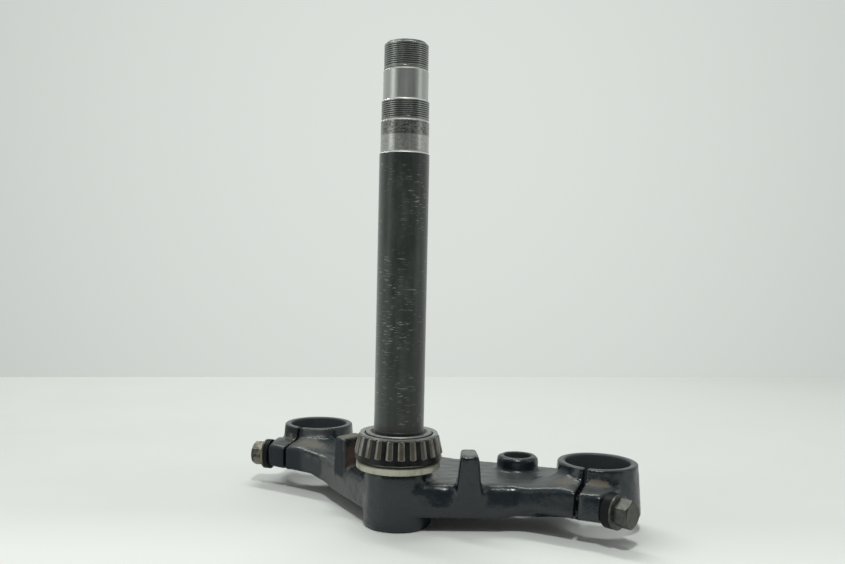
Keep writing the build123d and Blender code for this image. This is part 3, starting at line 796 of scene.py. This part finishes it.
colour = paint.blend(dust_and_reflection, BLACK_PAINT, DUST_AND_REFLECTION_GREY)
colour = paint.blend(paint.mask("bored"), colour, BORE_GREY)
colour = paint.blend(worn_and_reflecting, colour, BARE_METAL_AND_REFLECTION)
colour = paint.blend(dirty, colour, TAN_DIRT)
colour = paint.blend(rusty, colour, RUST_BROWN)
# painted shade over the slits
colour = paint.blend(paint.mask("slit"), colour, SLIT_PAINTED_SHADE)
gloss = paint.shift(dust_and_reflection, paint.span(clouds, 0.3, 0.7, 0.22, 0.34), DUSTY)
gloss = paint.shift(paint.mask("bored"), gloss, THIN)
gloss = paint.shift(paint.mask("grime"), gloss, DULL)
gloss = paint.shift(paint.larger(dirty, rusty), gloss, DULL)
paint.give("Base Color", colour)
paint.give("Roughness", gloss)
paint.bump(paint.plus(paint.noise(1.2, 2), paint.times(dirty, grain)), depth=0.12, strength=0.8)
paint.dress(casting)
print(f"paint of {len(paint.tree.nodes)} nodes")

# %% [markdown]
# The stem is turned from one bar, in steps that get thinner towards the top. Its two threads are too fine for
# the solid, so the whole stem is made again here. A Screw modifier could spin a profile, but a thread isn't
# the same all round. So the radius is a function of height and turn. A thread is a triangle wave along the
# axis that starts one pitch further on after each turn, so its ridges climb as a screw. A V cut at each
# shoulder leaves a bevel that catches the light. Both only cut inwards: the crests keep the solid's radius.

# %% Stem profile
# Radius and top of each step, in millimetres
STEM_STEPS = ((15.0, 56.5), (14.6, 217.4), (14.1, 235.9), (13.9, 247.6), (13.2, 265.0), (12.9, 281.0))
SHOULDER_CUTS = (0.4, 0.9, 0.9, 0.9, 0.9)
THREADS = ((236.6, 246.6), (265.9, 279.1))
THREAD_PITCH = 1.2
THREAD_DEPTH = 0.5
THREAD_FADE = 0.8


def stem_radius(height, turn):
    """Radius at a height and a turn: the step's own, less the thread's triangle wave, and no more than the V
    cut at a shoulder, which is the step's radius less the cut plus the distance from the shoulder."""
    radii, tops = np.array(STEM_STEPS).T
    radius = radii[np.minimum(np.searchsorted(tops, height), len(radii) - 1)]
    wave = np.abs(((height / THREAD_PITCH - turn / (2 * np.pi)) % 1) * 2 - 1)
    depth = sum(np.clip(np.minimum(height - low, high - height) / THREAD_FADE, 0, 1) for low, high in THREADS)
    radius = radius - THREAD_DEPTH * depth * np.clip(2 * wave - 1, 0, 1)
    for (step, top), cut in zip(STEM_STEPS, SHOULDER_CUTS):
        radius = np.minimum(radius, step - cut + np.abs(height - top))
    return radius


thread_middle = np.mean(THREADS[0])
half_turn = stem_radius(np.full(2, thread_middle), np.array([0, np.pi]))
print(f"radius of the adjuster's thread at {thread_middle:.1f} mm, half a turn apart:", half_turn.round(2))

# %% [markdown]
# The function is laid on a grid of heights and turns. An even grid fine enough for the threads would waste
# points on the plain tube, so the rings of points stand closest where the threads are, and five of them mark
# each shoulder. Four more rings close the top and line the bore.

# %% Stem with its threads
STEM_FOOT = 1.0
STEM_TOP = STEM_STEPS[-1][1]
STEM_BORE_R = 8.5
BORE_BEVEL = 0.5
END_BEVEL = 1.6
STEM_SIDES = 144
PITCH_STEPS = 8
PLAIN_RINGS = 60
RING_GAP = 0.12
THREAD_MARGIN = 0.3
SHARP_ANGLE = np.radians(24)


def stem_heights():
    """Heights of the rings of points: five at each shoulder, and PITCH_STEPS to a pitch along the threads."""
    shoulders = []
    for (radius, top), (next_radius, _), cut in zip(STEM_STEPS, STEM_STEPS[1:], SHOULDER_CUTS):
        rise = cut - (radius - next_radius)
        shoulders += [top - cut - RING_GAP, top - cut, top, top + rise, top + rise + RING_GAP]
    pitch_step = THREAD_PITCH / PITCH_STEPS
    threads = [np.arange(low - THREAD_MARGIN, high + THREAD_MARGIN, pitch_step) for low, high in THREADS]
    plain = np.linspace(STEM_FOOT, STEM_TOP - END_BEVEL, PLAIN_RINGS)
    return np.unique(np.round(np.concatenate([shoulders, plain, *threads]), 4))


def ring_faces(rows, columns):
    """Quads of a closed tube: each row of points joins the next, and the last row joins the first."""
    row, column = np.meshgrid(np.arange(rows), np.arange(columns), indexing="ij")
    next_row, next_column = (row + 1) % rows, (column + 1) % columns
    quads = [row * columns + column, row * columns + next_column]
    quads += [next_row * columns + next_column, next_row * columns + column]
    return np.stack(quads, -1).reshape(-1, 4)


turns = np.linspace(0, 2 * np.pi, STEM_SIDES, endpoint=False)
heights, turn_grid = np.meshgrid(stem_heights(), turns, indexing="ij")
end_heights = np.array([STEM_TOP, STEM_TOP, STEM_TOP - BORE_BEVEL, STEM_FOOT])[:, None] + 0 * turns
end_radii = [STEM_STEPS[-1][0] - END_BEVEL, STEM_BORE_R + BORE_BEVEL, STEM_BORE_R, STEM_BORE_R]
radius_grid = np.vstack([stem_radius(heights, turn_grid), np.array(end_radii)[:, None] + 0 * turns])
height_grid = np.vstack([heights, end_heights])
turn_grid = np.vstack([turn_grid, turns + 0 * end_heights])
stem_points = [radius_grid * np.cos(turn_grid), radius_grid * np.sin(turn_grid), height_grid]
stem_points = np.stack(stem_points, -1).reshape(-1, 3) * MM
stem = make_piece("turned_stem", stem_points, ring_faces(len(height_grid), STEM_SIDES))
stem.data.set_sharp_from_angle(angle=SHARP_ANGLE)
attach(stem, "clamp")
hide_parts("steering_stem")
print(f"stem: {len(height_grid)} rings of {STEM_SIDES} points, {2 * len(stem.data.polygons)} triangles")

# %% [markdown]
# The stem's finish changes with height: the tube is blacked, the seat above it is bare, the next band is
# stained, the threads are black in their roots and the bevels at the shoulders shine. Each could have a
# material of its own.
# One material with bands keeps the stem in one piece. A band is 1 between two heights and 0 outside them.

# %% Bands of the stem
TUBE = (50, 216.5)
TUBE_FOOT = (50, 59.5)
SEAT = (217.6, 227)
STAIN = (227, 234.8)
ADJUSTER_THREAD = (236.2, 246.7)
TOP_THREAD = (265.2, 290)
ADJUSTER_R, TOP_R = STEM_STEPS[3][0], STEM_STEPS[5][0]
ROOT_DEPTHS = (0.05, 0.25)

steel = Finish("stem_steel", Sheen_Weight=0.25, Sheen_Roughness=0.45)
height = steel.axis("Z")


def band(low, high, soft=0.1):
    """1 between two heights in millimetres, 0 outside them, with edges as soft as the given millimetres."""
    above = steel.span(height, (low - soft) * MM, (low + soft) * MM)
    below = steel.span(height, (high - soft) * MM, (high + soft) * MM, 1, 0)
    return steel.times(above, below)


tube = band(*TUBE)
top_thread = band(*TOP_THREAD)
thread = steel.larger(band(*ADJUSTER_THREAD), top_thread)
crest = steel.shift(top_thread, ADJUSTER_R * MM, TOP_R * MM)
under_crest = steel.arithmetic("SUBTRACT", crest, steel.reach())
# the thread roots turn black, the deeper below the crest the darker
root = steel.span(under_crest, ROOT_DEPTHS[0] * MM, ROOT_DEPTHS[1] * MM)
bevels = 0.0
for (_, top), cut in zip(STEM_STEPS[1:], SHOULDER_CUTS[1:]):
    bevels = steel.larger(bevels, band(top - cut, top, soft=0.05))
print(f"bands of the stem from {len(steel.tree.nodes)} nodes")

# %% [markdown]
# Above the tube the steel is bare: grey with fine streaks along the stem, mottled on the seat and dark in the
# stained band, with bright crests and black roots on the threads. Streaks could be drawn as lines. A noise
# that is stretched along the axis gives them without any drawing, and a nearly even one gives the mottling.

# %% Bare steel of the stem
BARE_GREYS = (0.46, 0.465, 0.45), (0.56, 0.565, 0.545)
RUBBED_GREY = (0.28, 0.285, 0.265)
STAIN_GREY = (0.095, 0.098, 0.090)
CREST_GREY = (0.30, 0.31, 0.295)
ROOT_BLACK = (0.005, 0.007, 0.007)
BRIGHT_BEVEL = (0.92, 0.92, 0.90)
THREAD_ROUGH, BEVEL_ROUGH = 0.32, 0.5

streaks = steel.noise(2.5, 4, stretch=(1, 1, 0.06))
mottle = steel.noise(1.7, 4, stretch=(1, 1, 1.6))
rubbed = steel.times(band(*SEAT), steel.span(mottle, 0.42, 0.62, 0.0, 0.6))
stained = steel.times(band(*STAIN, soft=0.4), steel.span(mottle, 0.36, 0.60, 1.0, 0.45))
colour = steel.blend(rubbed, steel.blend(streaks, *BARE_GREYS), RUBBED_GREY)
colour = steel.blend(stained, colour, STAIN_GREY)
colour = steel.blend(thread, colour, steel.blend(root, CREST_GREY, ROOT_BLACK))
colour = steel.blend(bevels, colour, BRIGHT_BEVEL)
polish = steel.shift(thread, steel.span(streaks, 0.3, 0.7, 0.30, 0.40), THREAD_ROUGH)
polish = steel.shift(bevels, polish, BEVEL_ROUGH)
print(f"bare steel brings the stem's finish to {len(steel.tree.nodes)} nodes")

# %% [markdown]
# The tube is blacked, so it shines less like metal and more like paint. It is smeared, and scuffed by small
# scratches that run round it, where the metal shows again. Its left side is painted lighter grey, as painted
# light from the left. Each scratch could be a cut in the mesh. They are so shallow that a colour and a slight
# bump are enough.

# %% Blacked tube
BLACKED = (0.007, 0.0100, 0.0092), (0.016, 0.021, 0.0185)
SMEAR_GREY = (0.098, 0.114, 0.100)
# painted light: the lighter grey of the tube's left side
FLANK_PAINTED_LIGHT = (0.095, 0.110, 0.096)
SCUFF_GREY = (0.26, 0.265, 0.245)
FOOT_BLACK = (0.012, 0.013, 0.013)
PAINTED_LIGHT_SIDE = (5, 13)
TUBE_ROUGH = 0.36

turning = steel.noise(0.9, 2, stretch=(0.04, 0.04, 1))
scratches = steel.span(steel.noise(1.6, 5, stretch=(0.35, 0.35, 2.2)), 0.58, 0.70)
scuffed = steel.times(scratches, steel.span(steel.noise(22, 3), 0.40, 0.58))
smears = steel.span(steel.noise(9, 5, stretch=(1, 1, 0.35)), 0.45, 0.70, 0, 0.24)
# painted light: the tube turns lighter grey towards its left side
painted_light_flank = steel.span(steel.along(-RIGHT), PAINTED_LIGHT_SIDE[0] * MM, PAINTED_LIGHT_SIDE[1] * MM, 0.0, 0.6)
blacked = steel.blend(steel.span(streaks, 0.3, 0.7), *BLACKED)
blacked = steel.blend(smears, blacked, SMEAR_GREY)
blacked = steel.blend(painted_light_flank, blacked, FLANK_PAINTED_LIGHT)
blacked = steel.blend(scuffed, blacked, SCUFF_GREY)
blacked = steel.blend(band(*TUBE_FOOT, soft=1.2), blacked, FOOT_BLACK)
steel.give("Base Color", steel.blend(tube, colour, blacked))
steel.give("Metallic", steel.shift(tube, 1.0, steel.span(scuffed, 0, 1, 0, 0.5)))
steel.give("Roughness", steel.shift(tube, polish, TUBE_ROUGH))
steel.bump(steel.plus(turning, scuffed), depth=0.03, strength=0.3)
steel.dress(stem)
print(f"stem finish of {len(steel.tree.nodes)} nodes")

# %% [markdown]
# The bearing's inner race and its rollers are ground steel with a brown film of old grease. They keep their
# solids, because the CAD shapes are already right, and only need a finish. The race's top rib is rubbed
# brighter, and the race's inner part round the stem is painted black, as painted shade in the gap there.

# %% Ground steel of the bearing
GROUND_STEEL, BROWN_FILM = (0.27, 0.262, 0.24), (0.15, 0.135, 0.112)
RIB_GREY = (0.33, 0.33, 0.315)
# black painted shade in the gap round the stem
GAP_SHADE_BLACK = (0.012, 0.012, 0.012)
RIB_R = (17.1, 17.6)
RIB_Z = (54.0, 54.3)
GAP_SHADE_R = (16.6, 17.1)
RIB_ROUGH = 0.5

ground = Finish("bearing_steel", Metallic=1.0)
film = ground.span(ground.noise(7, 4), 0.35, 0.65)
# painted shade: black on the race's inner part, next to the stem
gap_shade = ground.span(ground.reach(), GAP_SHADE_R[0] * MM, GAP_SHADE_R[1] * MM, 1, 0)
rib = ground.span(ground.reach(), RIB_R[0] * MM, RIB_R[1] * MM)
rib = ground.times(rib, ground.span(ground.axis("Z"), RIB_Z[0] * MM, RIB_Z[1] * MM))
polished = ground.blend(rib, ground.blend(film, GROUND_STEEL, BROWN_FILM), RIB_GREY)
ground.give("Base Color", ground.blend(gap_shade, polished, GAP_SHADE_BLACK))
ground.give("Metallic", ground.shift(gap_shade, 1.0, 0.0))
ground.give("Roughness", ground.shift(rib, ground.span(film, 0, 1, 0.26, 0.40), RIB_ROUGH))
ground.bump(ground.noise(0.5, 3, stretch=(1, 1, 0.1)), depth=0.02, strength=0.3)
rollers = [node for name, node in nodes.items() if name.startswith("roller_")]
ground.dress(nodes["bearing_inner_race"], *rollers)
print(f"inner race and {len(rollers)} rollers dressed")

# %% [markdown]
# The cage is pressed from sheet steel. It has gone dark with grease, and only the lip that is turned in over
# the rollers is lighter grey: partly rubbed bright, partly a painted highlight along its edge. The lip is
# found by its height, so the cage needs no second material.

# %% Cage
DARK_SHEET, GREASY_SHEET = (0.015, 0.016, 0.017), (0.007, 0.007, 0.007)
# lighter grey lip: rubbed metal and a painted highlight along its edge
LIP_WEAR_AND_HIGHLIGHT_GREY = (0.26, 0.265, 0.26)
LIP_Z = (52.6, 53.6)

sheet_steel = Finish("cage_steel", Metallic=0.6)
grease = sheet_steel.span(sheet_steel.noise(4, 4), 0.4, 0.65)
lip = sheet_steel.span(sheet_steel.axis("Z"), LIP_Z[0] * MM, LIP_Z[1] * MM)
pressed = sheet_steel.blend(grease, DARK_SHEET, GREASY_SHEET)
# the lip is rubbed metal and a painted highlight
sheet_steel.give("Base Color", sheet_steel.blend(lip, pressed, LIP_WEAR_AND_HIGHLIGHT_GREY))
sheet_steel.give("Roughness", sheet_steel.span(grease, 0, 1, 0.42, 0.30))
sheet_steel.dress(nodes["bearing_cage"])
print(f"cage finish of {len(sheet_steel.tree.nodes)} nodes")

# %% [markdown]
# The seal under the bearing is cream rubber, soiled in places. Its stains could be painted on. Soft rubber
# shows no shine, so a high roughness and a colour that wanders between clean and soiled are enough.

# %% Seal
CREAM, SOILED_CREAM = (0.43, 0.425, 0.345), (0.24, 0.225, 0.165)

rubber = Finish("cream_rubber", Roughness=0.7)
soil = rubber.span(rubber.noise(6, 5, stretch=(1, 1, 0.4)), 0.46, 0.74)
rubber.give("Base Color", rubber.blend(soil, CREAM, SOILED_CREAM))
rubber.bump(rubber.noise(1.2, 3), depth=0.08, strength=0.4)
rubber.dress(nodes["dust_seal"])
print(f"seal finish of {len(rubber.tree.nodes)} nodes")

# %% [markdown]
# The pinch bolts are dull zinc, brushed and stained, and the left one has begun to rust. Each could have a
# material of its own. One is enough, with the rust let in by the side on which a bolt lies.

# %% Pinch bolts
DULL_ZINC, PALE_ZINC = (0.034, 0.040, 0.036), (0.080, 0.088, 0.080)
ZINC_RUST = (0.25, 0.20, 0.145)
RIGHT_RUST, LEFT_RUST = 0.12, 0.9

zinc = Finish("zinc_steel", Metallic=0.8)
dull = zinc.noise(3, 5)
left_side = zinc.span(zinc.axis("X"), -0.01, 0.01, 1, 0)
rust_share = zinc.span(left_side, 0, 1, RIGHT_RUST, LEFT_RUST)
brown = zinc.times(zinc.span(zinc.noise(6, 4), 0.42, 0.62), rust_share)
plated = zinc.blend(zinc.span(dull, 0.3, 0.7), DULL_ZINC, PALE_ZINC)
zinc.give("Base Color", zinc.blend(brown, plated, ZINC_RUST))
zinc.give("Roughness", zinc.span(dull, 0.3, 0.7, 0.28, 0.46))
zinc.bump(zinc.noise(0.7, 3, stretch=(0.15, 1, 1)), depth=0.08, strength=0.7)
zinc.dress(nodes["left_pinch_bolt"], nodes["right_pinch_bolt"])
print(f"bolt finish of {len(zinc.tree.nodes)} nodes")

# %% [markdown]
# Each bolt draws on a washer of blacked steel, which hardly shines. A darker colour alone would leave it
# glossy, so the specular level is turned down instead.

# %% Washers
BLACKED_STEEL = (0.004, 0.005, 0.006), (0.010, 0.011, 0.012)

blacking = Finish("black_steel", Specular_IOR_Level=0.12)
scale = blacking.noise(2, 4)
blacking.give("Base Color", blacking.blend(scale, *BLACKED_STEEL))
blacking.give("Roughness", blacking.span(scale, 0.3, 0.7, 0.35, 0.5))
blacking.dress(nodes["left_washer"], nodes["right_washer"])
print(f"washer finish of {len(blacking.tree.nodes)} nodes")

# %% [markdown]
# Nothing of the dressed part grows past the solids' box, because the lumps are clipped to it.
